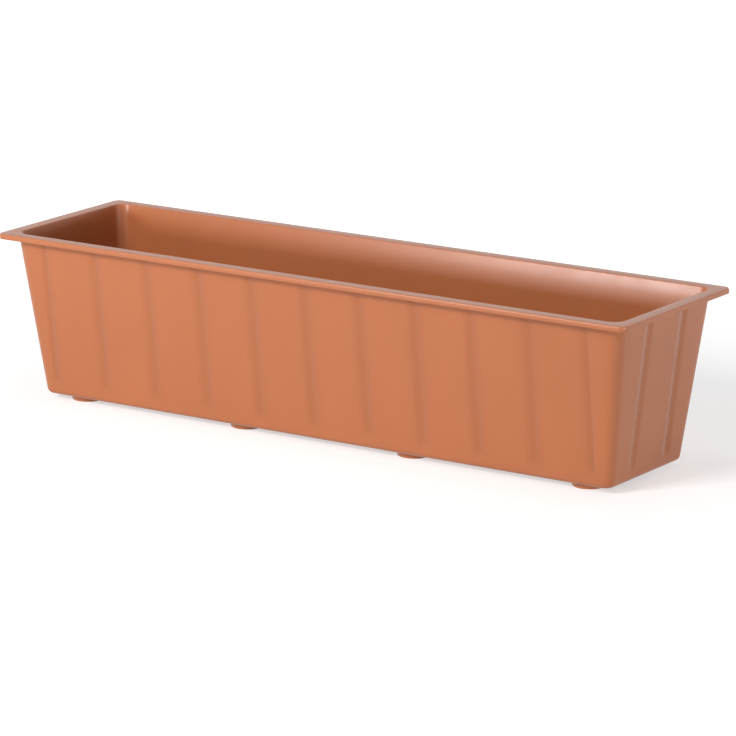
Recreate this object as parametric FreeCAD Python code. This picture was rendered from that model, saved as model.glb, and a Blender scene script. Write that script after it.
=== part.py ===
import FreeCAD, Part

import math
import os

from FreeCAD import Vector

# Window box planter: one moulded plastic trough on eight feet, with a push-in
# plug in each of its drain holes. Lengths are in millimetres, angles in degrees.
# X runs along the box, the front faces -Y, Z is up, and the origin is on the
# ground under the middle of the box.

# The rim: a flat flange round the mouth, with a lip turned down at its edge.
rim_length = 762.0
rim_width = 210.0
rim_height = 180.0
rim_corner_radius = 8.0
rim_edge_radius = 1.2
flange_overhang = 12.0
flange_thickness = 2.6
lip_depth = 5.5
lip_thickness = 2.2

# The trough: four walls that lean outwards from a flat floor.
wall_thickness = 2.6
wall_draft = 7.0
mouth_corner_radius = 15.0
base_corner_radius = 11.0
base_edge_radius = 6.0
least_inner_edge_radius = 1.0
floor_thickness = 2.8

# The board pattern: broad shallow grooves upright in the outside of the walls, whose
# inside is smooth.
board_width = 66.0
groove_width = 12.0
groove_bottom_width = 4.0
groove_depth = 1.2
groove_corner_margin = 0.5
groove_end_margin = 3.0

# The feet: hollow round pads in two rows, pressed down out of the floor.
feet_in_row = 4
foot_radius = 18.0
foot_height = 6.0
foot_draft = 12.0
foot_edge_radius = 1.0
foot_end_distance = 38.6
foot_side_margin = 2.0

# The drain holes: one in each bay between the feet, with a collar below it.
hole_radius = 8.0
hole_side_gap = 19.5
collar_wall = 3.0
collar_drop = 3.0

# The drain plugs: a round head, a hollow shank and a T-shaped pull grip.
plug_clearance = 0.08
plug_protrusion = 0.6
plug_wall = 2.0
plug_tip_chamfer = 0.8
head_overlap = 4.5
head_thickness = 2.0
head_edge_radius = 0.6
grip_height = 12.0
grip_bar_length = 17.0
grip_bar_radius = 2.4
grip_bar_edge_radius = 1.0
grip_web_width = 9.0
grip_web_thickness = 2.6

# How far a cutting block reaches past the face that it cuts, how level an edge
# has to be to be rounded, and how much of an upright corner's radius the
# rounding below it may take.
overrun = 1.0
level_tolerance = 1e-4
corner_share = 0.9

slope = math.tan(math.radians(wall_draft))
wall_across = wall_thickness / math.cos(math.radians(wall_draft))
inner_edge_radius = max(base_edge_radius - wall_thickness, least_inner_edge_radius)
floor_underside = foot_height
floor_top = floor_underside + floor_thickness
flange_underside = rim_height - flange_thickness
head_radius = hole_radius + head_overlap


def half_length(z):
    """Half the trough's outer length at height z."""
    return rim_length / 2 - flange_overhang - (rim_height - z) * slope


def half_width(z):
    """Half the trough's outer width at height z."""
    return rim_width / 2 - flange_overhang - (rim_height - z) * slope


def corner_radius(z):
    """The outer radius of the trough's upright corners at height z."""
    share = (z - floor_underside) / (rim_height - floor_underside)
    return base_corner_radius + share * (mouth_corner_radius - base_corner_radius)


def rounded_outline(half_x, half_y, radius, z):
    """A closed rectangle with round corners, centred on the Z axis."""
    corners = ((1, 1, 0), (-1, 1, 90), (-1, -1, 180), (1, -1, 270))
    arcs = []
    for side_x, side_y, start in corners:
        centre = Vector(side_x * (half_x - radius), side_y * (half_y - radius), z)
        points = []
        for angle in (start, start + 45, start + 90):
            turn = math.radians(angle)
            points.append(centre + Vector(radius * math.cos(turn), radius * math.sin(turn), 0))
        arcs.append(Part.Arc(*points).toShape())
    edges = []
    for arc, following in zip(arcs, arcs[1:] + arcs[:1]):
        gap = Part.LineSegment(arc.Vertexes[-1].Point, following.Vertexes[0].Point)
        edges += [arc, gap.toShape()]
    return Part.Wire(edges)


def level_edges(shape, z):
    """The edges of a shape that lie flat at height z."""
    return [edge for edge in shape.Edges
            if max(abs(edge.BoundBox.ZMin - z), abs(edge.BoundBox.ZMax - z)) < level_tolerance]


def leaning_block(inset, bottom, top, edge_radius):
    """A solid between two heights whose sides are the trough's, moved in by inset."""
    outlines = []
    for z in (bottom, top):
        radius = corner_radius(z) - inset
        outlines.append(rounded_outline(half_length(z) - inset, half_width(z) - inset, radius, z))
    block = Part.makeLoft(outlines, True, True)
    tightest = corner_share * (corner_radius(bottom) - inset)
    return block.makeFillet(min(edge_radius, tightest), level_edges(block, bottom))


def rim():
    """The flange and its lip, as a shallow tray upside down."""
    outline = rounded_outline(rim_length / 2, rim_width / 2, rim_corner_radius, rim_height - lip_depth)
    tray = Part.Face(outline).extrude(Vector(0, 0, lip_depth))
    tray = tray.makeFillet(rim_edge_radius, level_edges(tray, rim_height))
    pocket_outline = rounded_outline(
        rim_length / 2 - lip_thickness, rim_width / 2 - lip_thickness,
        rim_corner_radius - lip_thickness, rim_height - lip_depth)
    pocket = Part.Face(pocket_outline).extrude(Vector(0, 0, lip_depth - flange_thickness))
    return tray.cut(pocket)


def groove_places(half_span, first):
    """Where the grooves lie on a wall that is flat to half_span each side of its middle."""
    places = []
    place = first
    while place + groove_width / 2 + groove_corner_margin <= half_span:
        places += [place] if place == 0 else [place, -place]
        place += board_width
    return places


def groove_bars():
    """One bar per groove, lying along the outside of the leaning walls.

    The long walls have a groove at their middle, and the end walls a board.
    """
    low = floor_underside + base_edge_radius + groove_end_margin
    high = flange_underside
    flat_x = half_length(floor_underside) - base_corner_radius
    flat_y = half_width(floor_underside) - base_corner_radius
    rows = []
    for side in (-1, 1):
        for place in groove_places(flat_x, 0):
            rows.append((Vector(1, 0, 0), Vector(0, side, 0), place, half_width))
        for place in groove_places(flat_y, board_width / 2):
            rows.append((Vector(0, 1, 0), Vector(side, 0, 0), place, half_length))
    bars = []
    for along, out, place, half_size in rows:
        face = half_size(low)
        section = ((groove_width / 2, overrun), (groove_width / 2, 0),
                   (groove_bottom_width / 2, -groove_depth), (-groove_bottom_width / 2, -groove_depth),
                   (-groove_width / 2, 0), (-groove_width / 2, overrun))
        points = [along * (place + across) + out * (face + depth) + Vector(0, 0, low)
                  for across, depth in section]
        profile = Part.Face(Part.makePolygon(points + points[:1]))
        lean = out * (slope * (high - low)) + Vector(0, 0, high - low)
        bars.append(profile.extrude(lean))
    return bars


def foot_places():
    """The middle of each foot on the ground, in two rows of equal steps."""
    outermost = half_length(floor_underside) - foot_end_distance
    across = half_width(floor_underside) - base_edge_radius - foot_side_margin - foot_radius
    pitch = 2 * outermost / (feet_in_row - 1)
    return [Vector(step * pitch - outermost, side * across, 0)
            for side in (-1, 1) for step in range(feet_in_row)]


def hole_places():
    """The middle of each drain hole, half way along the bay between two feet."""
    outermost = half_length(floor_underside) - foot_end_distance
    inside = half_width(floor_top) - wall_across - inner_edge_radius
    across = inside - hole_side_gap - head_radius
    pitch = 2 * outermost / (feet_in_row - 1)
    return [Vector((step + 0.5) * pitch - outermost, side * across, 0)
            for side in (-1, 1) for step in range(feet_in_row - 1)]


def foot_pad(place):
    """The outside of a foot, a round pad narrower at the ground."""
    narrow = foot_radius - foot_height * math.tan(math.radians(foot_draft))
    pad = Part.makeCone(narrow, foot_radius, foot_height, place)
    pad = pad.makeFillet(foot_edge_radius, level_edges(pad, 0))
    root = Part.makeCylinder(foot_radius, floor_thickness / 2, place + Vector(0, 0, floor_underside))
    return pad.fuse(root)


def foot_hollow(place):
    """The dish inside a foot, open to the upper side of the floor."""
    wide = foot_radius - wall_thickness
    narrow = wide - foot_height * math.tan(math.radians(foot_draft))
    return Part.makeCone(narrow, wide, foot_height, place + Vector(0, 0, floor_thickness))


def collar(place):
    """The ring of wall that stands down below the floor round a drain hole."""
    start = place + Vector(0, 0, floor_underside - collar_drop)
    return Part.makeCylinder(hole_radius + collar_wall, collar_drop + floor_thickness / 2, start)


def drain_hole(place):
    """The bore through the floor and its collar."""
    start = place + Vector(0, 0, floor_underside - collar_drop - overrun)
    return Part.makeCylinder(hole_radius, collar_drop + floor_thickness + 2 * overrun, start)


def planter_box():
    """The one-piece trough."""
    box = leaning_block(0, floor_underside, rim_height, base_edge_radius)
    box = box.fuse([rim()] + [foot_pad(place) for place in foot_places()]
                   + [collar(place) for place in hole_places()])
    soil_space = leaning_block(wall_across, floor_top, rim_height + overrun, inner_edge_radius)
    box = box.cut(groove_bars() + [soil_space] + [foot_hollow(place) for place in foot_places()]
                  + [drain_hole(place) for place in hole_places()])
    return box.removeSplitter()


def pull_grip(base):
    """A T: an upright web on the plug's head, with a round bar across its top."""
    bar_height = base + grip_height - grip_bar_radius
    bar = Part.makeCylinder(grip_bar_radius, grip_bar_length,
                            Vector(-grip_bar_length / 2, 0, bar_height), Vector(1, 0, 0))
    ends = [edge for edge in bar.Edges if edge.BoundBox.XLength < level_tolerance]
    bar = bar.makeFillet(grip_bar_edge_radius, ends)
    web_start = Vector(-grip_web_width / 2, -grip_web_thickness / 2, base - head_thickness / 2)
    web = Part.makeBox(grip_web_width, grip_web_thickness, bar_height - web_start.z, web_start)
    return bar.fuse(web)


def drain_plug(place):
    """A push-in plug with its head on the floor and its shank through the hole."""
    shank_radius = hole_radius - plug_clearance
    shank_end = floor_underside - collar_drop - plug_protrusion
    shank_length = floor_top - shank_end
    head_top = floor_top + head_thickness
    shank = Part.makeCylinder(shank_radius, shank_length, Vector(0, 0, shank_end))
    shank = shank.makeChamfer(plug_tip_chamfer, level_edges(shank, shank_end))
    hollow = Part.makeCylinder(shank_radius - plug_wall, shank_length, Vector(0, 0, shank_end))
    head = Part.makeCylinder(head_radius, head_thickness, Vector(0, 0, floor_top))
    head = head.makeFillet(head_edge_radius, level_edges(head, head_top))
    plug = shank.cut(hollow).fuse([head, pull_grip(head_top)]).removeSplitter()
    plug.translate(place)
    return plug


def save(name, shape):
    """Write one piece and print its volume and its extent along each axis."""
    shape.exportStep("parts/" + name + ".step")
    box = shape.optimalBoundingBox()
    print("%s: sound %s, solids %d, volume %.0f, x %.2f to %.2f, y %.2f to %.2f, z %.2f to %.2f"
          % (name, shape.isValid(), len(shape.Solids), shape.Volume,
             box.XMin, box.XMax, box.YMin, box.YMax, box.ZMin, box.ZMax))


os.makedirs("parts", exist_ok=True)
save("planter_box", planter_box())
for number, place in enumerate(hole_places(), 1):
    save("drain_plug_%d" % number, drain_plug(place))
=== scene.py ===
import math

import bpy
import numpy as np
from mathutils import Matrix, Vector


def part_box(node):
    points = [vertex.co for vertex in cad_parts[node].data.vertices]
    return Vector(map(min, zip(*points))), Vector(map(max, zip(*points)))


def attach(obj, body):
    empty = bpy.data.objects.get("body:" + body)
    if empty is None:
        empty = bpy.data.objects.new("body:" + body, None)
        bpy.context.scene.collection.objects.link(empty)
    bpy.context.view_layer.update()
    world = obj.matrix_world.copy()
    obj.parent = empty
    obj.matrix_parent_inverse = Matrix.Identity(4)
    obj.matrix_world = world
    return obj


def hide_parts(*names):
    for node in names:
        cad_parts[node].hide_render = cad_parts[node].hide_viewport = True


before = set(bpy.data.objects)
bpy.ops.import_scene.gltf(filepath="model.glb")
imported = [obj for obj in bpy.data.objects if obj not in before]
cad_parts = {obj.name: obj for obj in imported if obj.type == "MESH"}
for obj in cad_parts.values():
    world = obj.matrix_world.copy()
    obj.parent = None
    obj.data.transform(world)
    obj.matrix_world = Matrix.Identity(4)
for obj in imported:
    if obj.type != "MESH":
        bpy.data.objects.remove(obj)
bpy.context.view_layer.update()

mm = 0.001

# ---------------------------------------------------------------------------
# The trough: four leaning walls with their board pattern, the floor, the feet,
# the drain collars and the rim. It is one injection moulding in terracotta
# coloured plastic, so every edge is rounded and every wall has the same draft.
# ---------------------------------------------------------------------------
rim_half_length, rim_half_width, rim_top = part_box("planter_box")[1]
rim_corner = 8.0 * mm
rim_edge = 1.2 * mm
overhang = 12.0 * mm
flange = 2.6 * mm
lip_depth = 5.5 * mm
lip = 2.2 * mm
lip_edge = 0.7 * mm
lip_fillet = 0.8 * mm
flange_fillet = 1.0 * mm
mouth_edge = 1.0 * mm

draft = 7.0
lean = math.tan(math.radians(draft))
square = math.cos(math.radians(draft))
wall = 2.6 * mm
mouth_corner = 15.0 * mm
base_corner = 11.0 * mm
base_edge = 6.0 * mm
inner_base_edge = 3.4 * mm
floor_under = 6.0 * mm
floor_top = floor_under + 2.8 * mm
flange_under = rim_top - flange
foot_of_wall_x = rim_half_length - overhang - lean * (rim_top - floor_under)
foot_of_wall_y = rim_half_width - overhang - lean * (rim_top - floor_under)

board = 66.0 * mm
groove_half_width = 9.0 * mm
groove_depth = 1.2 * mm
groove_foot = 13.0 * mm
groove_run_out = 14.0 * mm
groove_fade = 5.0 * mm
# How far to each side of a groove its painted shade reaches.
shade_reach = 14.0 * mm
least_step = 0.3 * mm
weld_step = 0.001 * mm


def smooth(share):
    """0 below 0, 1 above 1, and 3s^2 - 2s^3 between, for a whole array."""
    share = np.clip(share, 0, 1)
    return share * share * (3 - 2 * share)


def arc(out, up, radius, start, end, steps):
    """Points on a circle round (out, up) between two angles in degrees, where 0 points
    outwards and 90 up: centre + radius * (cos, sin)."""
    turn = np.radians(np.linspace(start, end, steps))
    return np.stack([out + radius * np.cos(turn), up + radius * np.sin(turn)], axis=1)


def outer_wall(up):
    """How far the wall's outer face stands out from its own foot: lean times height."""
    return lean * (up - floor_under)


def inner_wall(up):
    """The same for the wall's inner face, one wall thickness further in."""
    return outer_wall(up) - wall / square


def leaning_rows(face, low, high, rows):
    """Points up one face of the wall, evenly spaced in height."""
    up = np.linspace(low, high, rows)
    return np.stack([face(up), up], axis=1)


def trough_section():
    """The trough's upright section as rows (out, up), from the floor's underside round the
    outside, over the rim and down the smooth inside to the floor's top. With each row go its
    plan corner radius, its share of the groove depth and how much of an edge it is."""
    run_out = groove_foot + groove_run_out
    base_round = arc(outer_wall(floor_under + base_edge) - base_edge / square,
                     floor_under + base_edge, base_edge, -90, -draft, 7)
    low_wall = leaning_rows(outer_wall, groove_foot, run_out, 6)
    high_wall = leaning_rows(outer_wall, run_out, flange_under - flange_fillet, 8)[1:-1]
    fillet_up = flange_under - flange_fillet
    flange_round = arc(outer_wall(fillet_up) + flange_fillet / square, fillet_up,
                       flange_fillet, 180 - draft, 90, 4)
    outside = np.concatenate([base_round, low_wall, high_wall, flange_round])

    rim_out = rim_half_length - foot_of_wall_x
    lip_in = rim_out - lip
    lip_foot = rim_top - lip_depth
    rim = np.concatenate([
        arc(lip_in - lip_fillet, flange_under - lip_fillet, lip_fillet, 90, 0, 4),
        arc(lip_in + lip_edge, lip_foot + lip_edge, lip_edge, 180, 270, 4),
        arc(rim_out - lip_edge, lip_foot + lip_edge, lip_edge, 270, 360, 4),
        arc(rim_out - rim_edge, rim_top - rim_edge, rim_edge, 0, 90, 6)])

    mouth_up = rim_top - mouth_edge
    mouth_round = arc(inner_wall(mouth_up) + mouth_edge / square, mouth_up,
                      mouth_edge, 90, 180 - draft, 6)
    inner_up = floor_top + inner_base_edge
    inner_face = leaning_rows(inner_wall, mouth_up, inner_up, 14)[1:-1]
    inner_round = arc(inner_wall(inner_up) - inner_base_edge / square, inner_up,
                      inner_base_edge, -draft, -90, 6)
    inside = np.concatenate([mouth_round, inner_face, inner_round])

    rows = np.concatenate([outside, rim, inside])
    out, up = rows.T
    height_share = (up - floor_under) / (rim_top - floor_under)
    wall_corner = base_corner + height_share * (mouth_corner - base_corner)
    corner = wall_corner + out - outer_wall(up)
    on_rim = np.zeros(len(rows), bool)
    on_rim[len(outside):len(outside) + len(rim)] = True
    corner[on_rim] = rim_corner + out[on_rim] - rim_out

    groove = smooth((up - groove_foot) / groove_run_out)
    groove[len(outside):] = 0
    inner = np.arange(len(rows)) >= len(outside) + len(rim)

    edge = np.zeros(len(rows))
    edge[on_rim & (up < lip_foot + lip_edge)] = 0.5
    edge[on_rim & (up > rim_top - rim_edge)] = 1
    edge[inner & (up > mouth_up)] = 1
    return out, up, corner, groove, edge


def wall_stations(reach, first_groove):
    """Places along one flat wall, how deep the groove is at each, from 0 to 1, and how much
    painted shade darkens the colour there. A sine drawn from even steps gathers the places
    at the grooves, and a groove is one wave of a raised cosine, which fades out at the wall's ends."""
    per_board = 28
    gather = 0.75
    count = math.ceil(reach / board + 1) * per_board
    even = np.arange(-count, count + 1) / per_board
    sway = np.sin(2 * math.pi * (even - first_groove / board)) / (2 * math.pi)
    places = board * (even - gather * sway)
    places = places[np.abs(places) < reach - least_step]
    places = np.concatenate([[-reach], places, [reach]])
    off = (places - first_groove + board / 2) % board - board / 2
    fade = smooth((reach - np.abs(places)) / groove_fade)
    wave = fade * (0.5 + 0.5 * np.cos(np.clip(off / groove_half_width, -1, 1) * math.pi))
    # Painted shade: a raised cosine broader than the groove itself, darkening the colour along each
    # groove.
    groove_shade = fade * (0.5 + 0.5 * np.cos(np.clip(off / shade_reach, -1, 1) * math.pi))
    return places, wave, groove_shade


corner_steps = 9
flat_margin = 1.0 * mm
long_places, long_wave, long_shade = wall_stations(foot_of_wall_x - base_corner - flat_margin, 0)
end_places, end_wave, end_shade = wall_stations(foot_of_wall_y - base_corner - flat_margin, board / 2)

feet_in_row = 4
foot_end_distance = 38.6 * mm
foot_side_margin = 2.0 * mm
foot_pitch = 2 * (foot_of_wall_x - foot_end_distance) / (feet_in_row - 1)
bay_length = foot_pitch / 2
bay_lines = bay_length * (np.arange(-3, 3) + 0.5)
for line in bay_lines:
    long_places[np.argmin(np.abs(long_places - line))] = line


def plan_loops(out, up, corner, groove):
    """One closed loop of points for each row of the section, anticlockwise seen from above:
    flat wall, round corner, four times over. The wall's own out and the groove's wave move a
    point straight in or out, and a corner is a quarter circle of the row's radius."""
    turn = np.radians(np.linspace(0, 90, corner_steps))
    out, corner, groove = out[:, None], corner[:, None], groove[:, None]
    half_x = foot_of_wall_x + out
    half_y = foot_of_wall_y + out
    xs, ys, groove_shades = [], [], []
    for quarter in range(4):
        c, s = ((1, 0), (0, 1), (-1, 0), (0, -1))[quarter]
        long_side = quarter % 2 == 0
        places = long_places if long_side else end_places
        wave, groove_shade = (long_wave, long_shade) if long_side else (end_wave, end_shade)
        ahead, aside = (half_x, half_y) if long_side else (half_y, half_x)
        along = np.concatenate([places + 0 * out, ahead - corner + corner * np.sin(turn)], axis=1)
        across = np.concatenate([aside - groove_depth * groove * wave,
                                 aside - corner + corner * np.cos(turn)], axis=1)
        xs.append(c * along + s * across)
        ys.append(s * along - c * across)
        # Each point carries the groove's painted shade, and the corners get none.
        groove_shades.append(np.concatenate([groove * groove_shade, 0 * groove * turn], axis=1))
    x, y = np.concatenate(xs, axis=1), np.concatenate(ys, axis=1)
    return np.stack([x, y, up[:, None] + 0 * x], axis=2), np.concatenate(groove_shades, axis=1)


out, up, corner, groove, edge = trough_section()
shell, shell_groove_shade = plan_loops(out, up, corner, groove)
shell_edge = edge[:, None] + 0 * shell_groove_shade

# The feet and the drain collars lie in bays, alternately along the floor.
foot_radius = 18.0 * mm
foot_draft = 12.0
foot_edge = 1.0 * mm
foot_root = 1.0 * mm
dish_root = 1.5 * mm
hole_radius = 8.0 * mm
collar_radius = 11.0 * mm
collar_drop = 3.0 * mm
collar_root = 1.0 * mm
collar_edge = 0.5 * mm
hole_edge = 0.4 * mm
foot_across = foot_of_wall_y - base_edge - foot_side_margin - foot_radius
hole_across = abs(sum(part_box("drain_plug_1")[i].y for i in (0, 1)) / 2)


def foot_sections():
    """A foot's underside from its root in to its middle, and its dish from the middle out,
    as rows (radius, up)."""
    spread = math.tan(math.radians(foot_draft))
    tilt = math.cos(math.radians(foot_draft))

    def side(up, radius):
        return radius - (floor_under - up) * spread

    dish_radius = foot_radius - wall
    dish_floor = floor_top - floor_under
    root_up = floor_under - foot_root
    pad = np.concatenate([
        arc(side(root_up, foot_radius) + foot_root / tilt, root_up, foot_root, 90, 180 - foot_draft, 5),
        arc(side(foot_edge, foot_radius) - foot_edge / tilt, foot_edge, foot_edge, -foot_draft, -90, 5),
        [[0.5 * foot_radius, 0], [0, 0]]])

    def dish_side(up):
        return dish_radius - (floor_top - up) * spread

    low, high = dish_floor + dish_root, floor_top - foot_edge
    dish = np.concatenate([
        [[0, dish_floor], [0.5 * dish_radius, dish_floor]],
        arc(dish_side(low) - dish_root / tilt, low, dish_root, -90, -foot_draft, 5),
        arc(dish_side(high) + foot_edge / tilt, high, foot_edge, 180 - foot_draft, 90, 5)])
    return pad, dish


def collar_section():
    """A drain collar from the floor's underside down, round its foot and up the bore to the
    floor's top, as rows (radius, up)."""
    foot_up = floor_under - collar_drop
    return np.concatenate([
        arc(collar_radius + collar_root, floor_under - collar_root, collar_root, 90, 180, 5),
        arc(collar_radius - collar_edge, foot_up + collar_edge, collar_edge, 0, -90, 4),
        arc(hole_radius + collar_edge, foot_up + collar_edge, collar_edge, -90, -180, 4),
        arc(hole_radius + hole_edge, floor_top - hole_edge, hole_edge, 180, 90, 4)])


def bay_edge(loop, left, right, side):
    """The edge of one bay of the floor: the stations of the floor's own edge that lie in it,
    and evenly spaced points on the lines that part it from its neighbours."""
    far = loop[:, 0].max()
    tiny = 0.01 * mm
    steps_across, steps_along = 14, 22
    own = (loop[:, 0] > left - tiny) & (loop[:, 0] < right + tiny) & (side * loop[:, 1] > -tiny)
    parts = [loop[own, :2]]
    across = side * loop[:, 1].max() * np.arange(steps_across) / steps_across
    for line in (left, right):
        if abs(line) < far - tiny:
            parts.append(np.stack([line + 0 * across, across], axis=1))
    along = np.linspace(max(left, -far), min(right, far), steps_along)[1:-1]
    parts.append(np.stack([along, 0 * along], axis=1))
    return np.concatenate(parts)


def bay_patch(section, middle, edges, order, turn):
    """Rings about a foot or a hole, between the floor's edge and the middle. A ring of the
    section is middle + radius * (cos, sin), and the rings outside the section are drawn
    evenly towards the bay's edge. edges holds (loop, up) for the first and the last ring,
    or None where the section closes in its own middle."""
    circle = np.stack([np.cos(turn), np.sin(turn)], axis=1)
    radius, up = section.T
    rings = middle + radius[:, None, None] * circle
    rings = np.concatenate([rings, up[:, None, None] + 0 * rings[..., :1]], axis=2)
    ring_shares = np.array([1, 0.62, 0.28])[:, None, None]
    blocks = [rings]
    for place, ring in ((0, rings[0]), (-1, rings[-1])):
        if edges[place] is None:
            continue
        bay = np.concatenate([edges[place][order], 0 * turn[:, None] + ring[0, 2]], axis=1)
        outer = ring + ring_shares * (bay - ring)
        blocks = [outer] + blocks if place == 0 else blocks + [outer[::-1]]
    return np.concatenate(blocks)


def floor_patches():
    """All the bays of the floor, each closed round its own foot or hole."""
    pad, dish = foot_sections()
    collar = collar_section()
    under, top = shell[0], shell[-1]
    limits = [-1, *bay_lines, 1]
    patches = []
    for number, (left, right) in enumerate(zip(limits, limits[1:])):
        footed = number % 2 == 0
        for side in (-1, 1):
            across = foot_across if footed else hole_across
            middle = np.array([(number - feet_in_row + 1) * bay_length, side * across])
            low = bay_edge(under, left, right, side)
            high = bay_edge(top, left, right, side)
            angle = np.arctan2(*(low - middle).T[::-1])
            order = np.argsort(angle)
            turn = angle[order]
            if footed:
                patches.append(bay_patch(pad, middle, (low, None), order, turn))
                patches.append(bay_patch(dish, middle, (None, high), order, turn))
            else:
                patches.append(bay_patch(collar, middle, (low, high), order, turn))
    return patches


def ring_faces(rows, columns):
    """Corner numbers of the four-sided faces between rows of points that close on
    themselves, with the rows' direction turned left from the columns'."""
    row, column = np.meshgrid(np.arange(rows - 1), np.arange(columns), indexing="ij")
    after = (column + 1) % columns
    a, b = row * columns + column, row * columns + after
    return np.stack([a, b, b + columns, a + columns], axis=2).reshape(-1, 4)


def moulding(name, blocks):
    """A mesh object of blocks of rings, welded where their points meet. Each block is an
    array (rows, columns, 3) and a dictionary of one value per point."""
    points = np.concatenate([rings.reshape(-1, 3) for rings, _ in blocks])
    starts = np.cumsum([0] + [rings.shape[0] * rings.shape[1] for rings, _ in blocks])
    faces = np.concatenate([ring_faces(*rings.shape[:2]) + start
                            for (rings, _), start in zip(blocks, starts)])
    grid = np.round(points / weld_step).astype(np.int64)
    _, first, same = np.unique(grid, axis=0, return_index=True, return_inverse=True)
    faces = same.reshape(-1)[faces]
    tip = faces[:, 0] == faces[:, 1]
    tail = faces[:, 2] == faces[:, 3]
    quads = faces[~tip & ~tail]
    tris = np.concatenate([faces[tip & ~tail][:, 1:], faces[tail & ~tip][:, :3]])
    corners = np.concatenate([quads.ravel(), tris.ravel()])
    start = np.concatenate([4 * np.arange(len(quads)), 4 * len(quads) + 3 * np.arange(len(tris))])

    mesh = bpy.data.meshes.new(name)
    mesh.vertices.add(len(first))
    mesh.vertices.foreach_set("co", points[first].ravel())
    mesh.loops.add(len(corners))
    mesh.loops.foreach_set("vertex_index", corners.astype(np.int32))
    mesh.polygons.add(len(start))
    mesh.polygons.foreach_set("loop_start", start.astype(np.int32))
    mesh.update(calc_edges=True)
    mesh.shade_smooth()
    for key in blocks[0][1]:
        values = np.concatenate([(marks[key] + 0 * rings[..., 0]).ravel() for rings, marks in blocks])
        layer = mesh.attributes.new(key, "FLOAT", "POINT")
        layer.data.foreach_set("value", values[first].astype(np.float32))
    made = bpy.data.objects.new(name, mesh)
    bpy.context.scene.collection.objects.link(made)
    return made


# The groove mark holds the painted shade in the grooves, and the floor gets none.
trough_blocks = [(shell, {"groove": shell_groove_shade, "edge": shell_edge})]
trough_blocks += [(rings[:, ::-1], {"groove": 0.0, "edge": 0.0}) for rings in floor_patches()]
trough = moulding("trough", trough_blocks)


def satin_plastic(name, colour, roughness, mottle):
    """Moulded plastic coloured through. Cloudy noise gives the uneven pigment, noise drawn
    out upwards the marks of its flow, fine noise the flecks and the mould's spark-eroded
    grain. The mesh's groove mark darkens the grooves and the plugs' recess and grip foot
    with painted shade, and its edge mark pales the edges, which rub."""
    material = bpy.data.materials.new(name)
    material.use_nodes = True
    nodes, links = material.node_tree.nodes, material.node_tree.links
    shader = nodes["Principled BSDF"]
    place = nodes.new("ShaderNodeTexCoord").outputs["Object"]

    def noise(scale, detail, stretch=(1, 1, 1)):
        mapping = nodes.new("ShaderNodeMapping")
        mapping.inputs["Scale"].default_value = stretch
        links.new(place, mapping.inputs["Vector"])
        cloud = nodes.new("ShaderNodeTexNoise")
        cloud.inputs["Scale"].default_value = scale
        cloud.inputs["Detail"].default_value = detail
        links.new(mapping.outputs["Vector"], cloud.inputs["Vector"])
        return cloud.outputs["Fac"]

    def ranged(value, low, high, start=0.3, end=0.7):
        span = nodes.new("ShaderNodeMapRange")
        span.inputs["From Min"].default_value = start
        span.inputs["From Max"].default_value = end
        span.inputs["To Min"].default_value = low
        span.inputs["To Max"].default_value = high
        links.new(value, span.inputs["Value"])
        return span.outputs["Result"]

    def blend(share, under, over):
        mix = nodes.new("ShaderNodeMix")
        mix.data_type = "RGBA"
        links.new(share, mix.inputs["Factor"])
        for socket, tone in ((mix.inputs["A"], under), (mix.inputs["B"], over)):
            if isinstance(tone, tuple):
                socket.default_value = (*tone, 1)
            else:
                links.new(tone, socket)
        return mix.outputs["Result"]

    def mark(key):
        attribute = nodes.new("ShaderNodeAttribute")
        attribute.attribute_name = key
        return attribute.outputs["Fac"]

    def toned(amount):
        return tuple(part * amount for part in colour)

    pigment = noise(9, 3)
    flow = noise(1, 2, (46, 46, 2.5))
    flecks = noise(850, 2)
    # Painted shade: the groove mark darkens the colour in the trough's grooves and in a plug's recess
    # and at the foot of its grip.
    groove_shade, shade_tone = mark("groove"), toned(0.79)
    wear, rubbed_tone = mark("edge"), toned(1.25)
    tone = blend(ranged(pigment, 0, 1), toned(1 - mottle), toned(1 + mottle))
    tone = blend(ranged(flow, 0, 0.35), tone, toned(1 - 2 * mottle))
    tone = blend(ranged(flecks, 0, 0.3), tone, toned(1 + 2 * mottle))
    tone = blend(ranged(groove_shade, 0, 0.5, 0, 1), tone, shade_tone)
    tone = blend(ranged(wear, 0, 0.45, 0, 1), tone, rubbed_tone)
    links.new(tone, shader.inputs["Base Color"])

    uneven = 0.02
    links.new(ranged(noise(60, 4), roughness - uneven, roughness + uneven), shader.inputs["Roughness"])
    grain = nodes.new("ShaderNodeBump")
    grain.inputs["Strength"].default_value = 0.25
    grain.inputs["Distance"].default_value = 0.04 * mm
    links.new(noise(1900, 3), grain.inputs["Height"])
    links.new(grain.outputs["Normal"], shader.inputs["Normal"])
    shader.inputs["IOR"].default_value = 1.49
    return material


terracotta = (0.437, 0.136, 0.048)
trough.data.materials.append(satin_plastic("terracotta_plastic", terracotta, 0.3, 0.035))
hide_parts("planter_box")
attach(trough, "box")

# ---------------------------------------------------------------------------
# The six drain plugs: soft plastic, a shade darker than the trough, each pushed
# into its hole from above and pulled out by the T on its head. A plug is one small
# moulding, so hollow shank, head and grip share one skin.
# ---------------------------------------------------------------------------
plug_foot, plug_top = (corner.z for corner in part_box("drain_plug_1"))
shank_radius = 7.92 * mm
hollow_radius = 5.92 * mm
tip_round = 0.8 * mm
head_radius = 12.5 * mm
head_top = floor_top + 2.0 * mm
head_round = 0.6 * mm
seat_round = 0.3 * mm
recess_inner = 7.0 * mm
recess_outer = 11.0 * mm
recess_depth = 0.3 * mm
recess_slope = 0.3 * mm
web_half_length = 4.5 * mm
web_half_width = 1.3 * mm
web_root = 0.8 * mm
bar_radius = 2.4 * mm
bar_half_length = 8.5 * mm
bar_end_round = 1.0 * mm
bar_middle = plug_top - bar_radius
bar_start = -math.degrees(math.acos(web_half_width / bar_radius))


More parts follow.
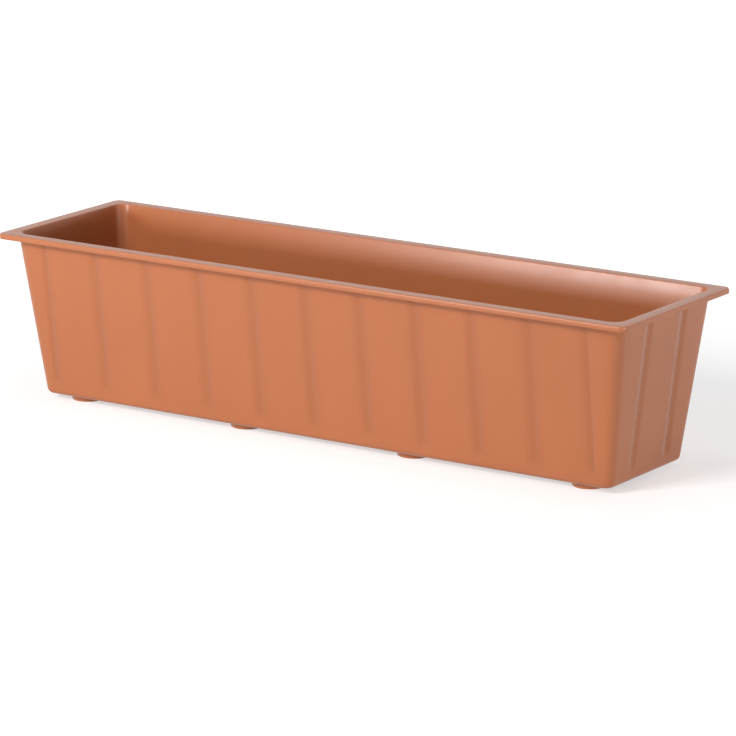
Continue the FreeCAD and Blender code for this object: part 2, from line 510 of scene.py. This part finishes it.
def plug_rows():
    """The plug as rows (half length, half width, up, squareness), from the middle of its
    hollow out round the tip and the head, then in and up to the top of the grip. A row of
    squareness 2 is round, and the rows of the grip are rectangles with round corners."""
    round_rows = np.concatenate([
        [[0, floor_top], [0.5 * hollow_radius, floor_top]],
        arc(hollow_radius - tip_round, floor_top - tip_round, tip_round, 90, 0, 5),
        arc(hollow_radius + hole_edge, plug_foot + hole_edge, hole_edge, 180, 270, 4),
        arc(shank_radius - tip_round, plug_foot + tip_round, tip_round, 270, 360, 5),
        arc(shank_radius + seat_round, floor_top - seat_round, seat_round, 180, 90, 4),
        arc(head_radius - seat_round, floor_top + seat_round, seat_round, 270, 360, 4),
        arc(head_radius - head_round, head_top - head_round, head_round, 0, 90, 6),
        [[recess_outer, head_top],
         [recess_outer - recess_slope, head_top - recess_depth],
         [recess_inner + recess_slope, head_top - recess_depth],
         [recess_inner, head_top]]])
    body = np.stack([round_rows[:, 0], round_rows[:, 0], round_rows[:, 1],
                     2 + 0 * round_rows[:, 0]], axis=1)

    spread, rise = arc(web_root, web_root, web_root, 270, 180, 6).T
    root = np.stack([web_half_length + spread, web_half_width + spread, head_top + rise,
                     np.linspace(4, 6, 6)], axis=1)
    share = np.linspace(0, 1, 8)
    bar_low = bar_middle + bar_radius * math.sin(math.radians(bar_start))
    widest = bar_half_length - bar_end_round * (1 - math.cos(math.radians(bar_start)))
    flare = np.stack([web_half_length + smooth(share) * (widest - web_half_length),
                      web_half_width + 0 * share, bar_low - (1 - share) * bar_radius / 2,
                      6 + 0 * share], axis=1)
    turn = np.radians(np.linspace(bar_start, 90, 14))[1:]
    bar = np.stack([bar_half_length - bar_end_round * (1 - np.cos(turn)), bar_radius * np.cos(turn),
                    bar_middle + bar_radius * np.sin(turn), 6 + 0 * turn], axis=1)
    return np.concatenate([body, root, flare, bar])


half_length, half_width, plug_up, squareness = (column[:, None] for column in plug_rows().T)
around = np.linspace(0, 2 * math.pi, 64, endpoint=False)
plug_skin = np.stack([
    half_length * np.sign(np.cos(around)) * np.abs(np.cos(around)) ** (2 / squareness),
    half_width * np.sign(np.sin(around)) * np.abs(np.sin(around)) ** (2 / squareness),
    plug_up + 0 * around], axis=2)
# Painted shade in the head's recess and where the grip's web meets the head.
recess_shade = (half_length < recess_outer) * np.exp(-((plug_up - head_top) / web_root) ** 2)
rubbed_bar = smooth((plug_up - bar_middle) / bar_radius)
rubbed_rim = 0.6 * (half_length > head_radius - head_round) * (plug_up > head_top - head_round)
rubbed = np.maximum(rubbed_bar, rubbed_rim)

plug_colour = (0.34, 0.12, 0.06)
plug_plastic = satin_plastic("plug_plastic", plug_colour, 0.5, 0.03)
for number in range(1, 7):
    node = "drain_plug_%d" % number
    low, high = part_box(node)
    place = np.array([(low.x + high.x) / 2, (low.y + high.y) / 2, 0])
    plug = moulding("pull_plug_%d" % number, [(plug_skin + place, {"groove": recess_shade, "edge": rubbed})])
    plug.data.materials.append(plug_plastic)
    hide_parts(node)
    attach(plug, "plug_%d" % number)

# ---------------------------------------------------------------------------
# The studio: a pale floor and surround that the camera sees as white. Soft lamps
# stand in front, at the right and behind, with a weak one above, and a small one
# low at the front left shines over the front rim and glances off the back wall.
# ---------------------------------------------------------------------------
floor_mesh = bpy.data.meshes.new("floor")
reach = 7.0
floor_mesh.from_pydata([(-reach, -reach, 0), (reach, -reach, 0), (reach, reach, 0), (-reach, reach, 0)],
                       [], [(0, 1, 2, 3)])
floor = bpy.data.objects.new("floor", floor_mesh)
bpy.context.scene.collection.objects.link(floor)


def for_the_eye(tree, elsewhere, seen):
    """A value that is seen for what the camera looks at, also by way of a gloss, and
    elsewhere for the light."""
    path = tree.nodes.new("ShaderNodeLightPath")
    ray = path.outputs["Is Camera Ray"]
    for kind in ("Is Glossy Ray", "Is Transmission Ray"):
        either = tree.nodes.new("ShaderNodeMath")
        either.operation = "MAXIMUM"
        tree.links.new(ray, either.inputs[0])
        tree.links.new(path.outputs[kind], either.inputs[1])
        ray = either.outputs["Value"]
    span = tree.nodes.new("ShaderNodeMapRange")
    span.inputs["To Min"].default_value = elsewhere
    span.inputs["To Max"].default_value = seen
    tree.links.new(ray, span.inputs["Value"])
    return span.outputs["Result"]


def floor_white(tree):
    """The floor's own white: less near the box, so that its shadow shows, and rising as a
    smooth step with the distance from the origin to full white."""
    place = tree.nodes.new("ShaderNodeTexCoord")
    distance = tree.nodes.new("ShaderNodeVectorMath")
    distance.operation = "LENGTH"
    tree.links.new(place.outputs["Object"], distance.inputs[0])
    rise = tree.nodes.new("ShaderNodeMapRange")
    rise.interpolation_type = "SMOOTHSTEP"
    for socket, value in (("From Min", 0.4), ("From Max", 1.4), ("To Min", 0.55), ("To Max", 1.0)):
        rise.inputs[socket].default_value = value
    tree.links.new(distance.outputs["Value"], rise.inputs["Value"])
    return rise.outputs["Result"]


pale = bpy.data.materials.new("pale_floor")
pale.use_nodes = True
pale_shader = pale.node_tree.nodes["Principled BSDF"]
pale_shader.inputs["Base Color"].default_value = (0.62, 0.62, 0.62, 1)
pale_shader.inputs["Roughness"].default_value = 0.9
pale_shader.inputs["Emission Color"].default_value = (1, 1, 1, 1)
glow = pale.node_tree.nodes.new("ShaderNodeMath")
glow.operation = "MULTIPLY"
pale.node_tree.links.new(for_the_eye(pale.node_tree, 0, 1), glow.inputs[0])
pale.node_tree.links.new(floor_white(pale.node_tree), glow.inputs[1])
pale.node_tree.links.new(glow.outputs["Value"], pale_shader.inputs["Emission Strength"])
floor_mesh.materials.append(pale)

world = bpy.data.worlds.new("studio")
world.use_nodes = True
bpy.context.scene.world = world
surround = world.node_tree.nodes["Background"]
surround.inputs["Color"].default_value = (1, 1, 1, 1)
world.node_tree.links.new(for_the_eye(world.node_tree, 0.18, 1.0), surround.inputs["Strength"])


def lamp(name, azimuth, elevation, distance, aim, watts, wide, high):
    """A soft rectangular lamp that shines at aim. Azimuth 0 is straight in front of the
    box and 90 is off its right end."""
    turn, lift = math.radians(azimuth), math.radians(elevation)
    away = Vector((math.sin(turn) * math.cos(lift), -math.cos(turn) * math.cos(lift), math.sin(lift)))
    data = bpy.data.lights.new(name, "AREA")
    data.energy = watts
    data.shape = "RECTANGLE"
    data.size, data.size_y = wide, high
    made = bpy.data.objects.new(name, data)
    made.visible_camera = False
    made.location = Vector(aim) + distance * away
    made.rotation_euler = (-away).to_track_quat("-Z", "Y").to_euler()
    bpy.context.scene.collection.objects.link(made)


lamp("front_lamp", -12, 29, 2.7, (0, 0, 0.1), 49.5, 1.0, 0.5)
lamp("right_lamp", 80, 1.5, 2.7, (0, 0, 0.08), 26.5, 1.0, 0.25)
lamp("back_lamp", 180, 3, 2.7, (0, 0, 0.08), 38, 1.6, 0.4)
lamp("top_lamp", 0, 90, 2.0, (0, 0, 0), 3, 1.0, 0.5)
lamp("low_lamp", -29.5, 5.5, 2.0, (0.28, 0.09, 0.17), 10.5, 0.36, 0.14)

camera_data = bpy.data.cameras.new("camera")
camera = bpy.data.objects.new("camera", camera_data)
bpy.context.scene.collection.objects.link(camera)
bpy.context.scene.camera = camera
look_at = Vector((0.0164, 0.0, 0.0685))
azimuth, elevation = math.radians(33.93), math.radians(13.95)
distance = 4.6
camera_data.sensor_width = 36
camera_data.lens = 220.1
back = Vector((math.sin(azimuth) * math.cos(elevation), -math.cos(azimuth) * math.cos(elevation),
               math.sin(elevation)))
camera.location = look_at + distance * back
camera.rotation_euler = (-back).to_track_quat("-Z", "Y").to_euler()

bpy.context.scene.view_settings.view_transform = "Standard"
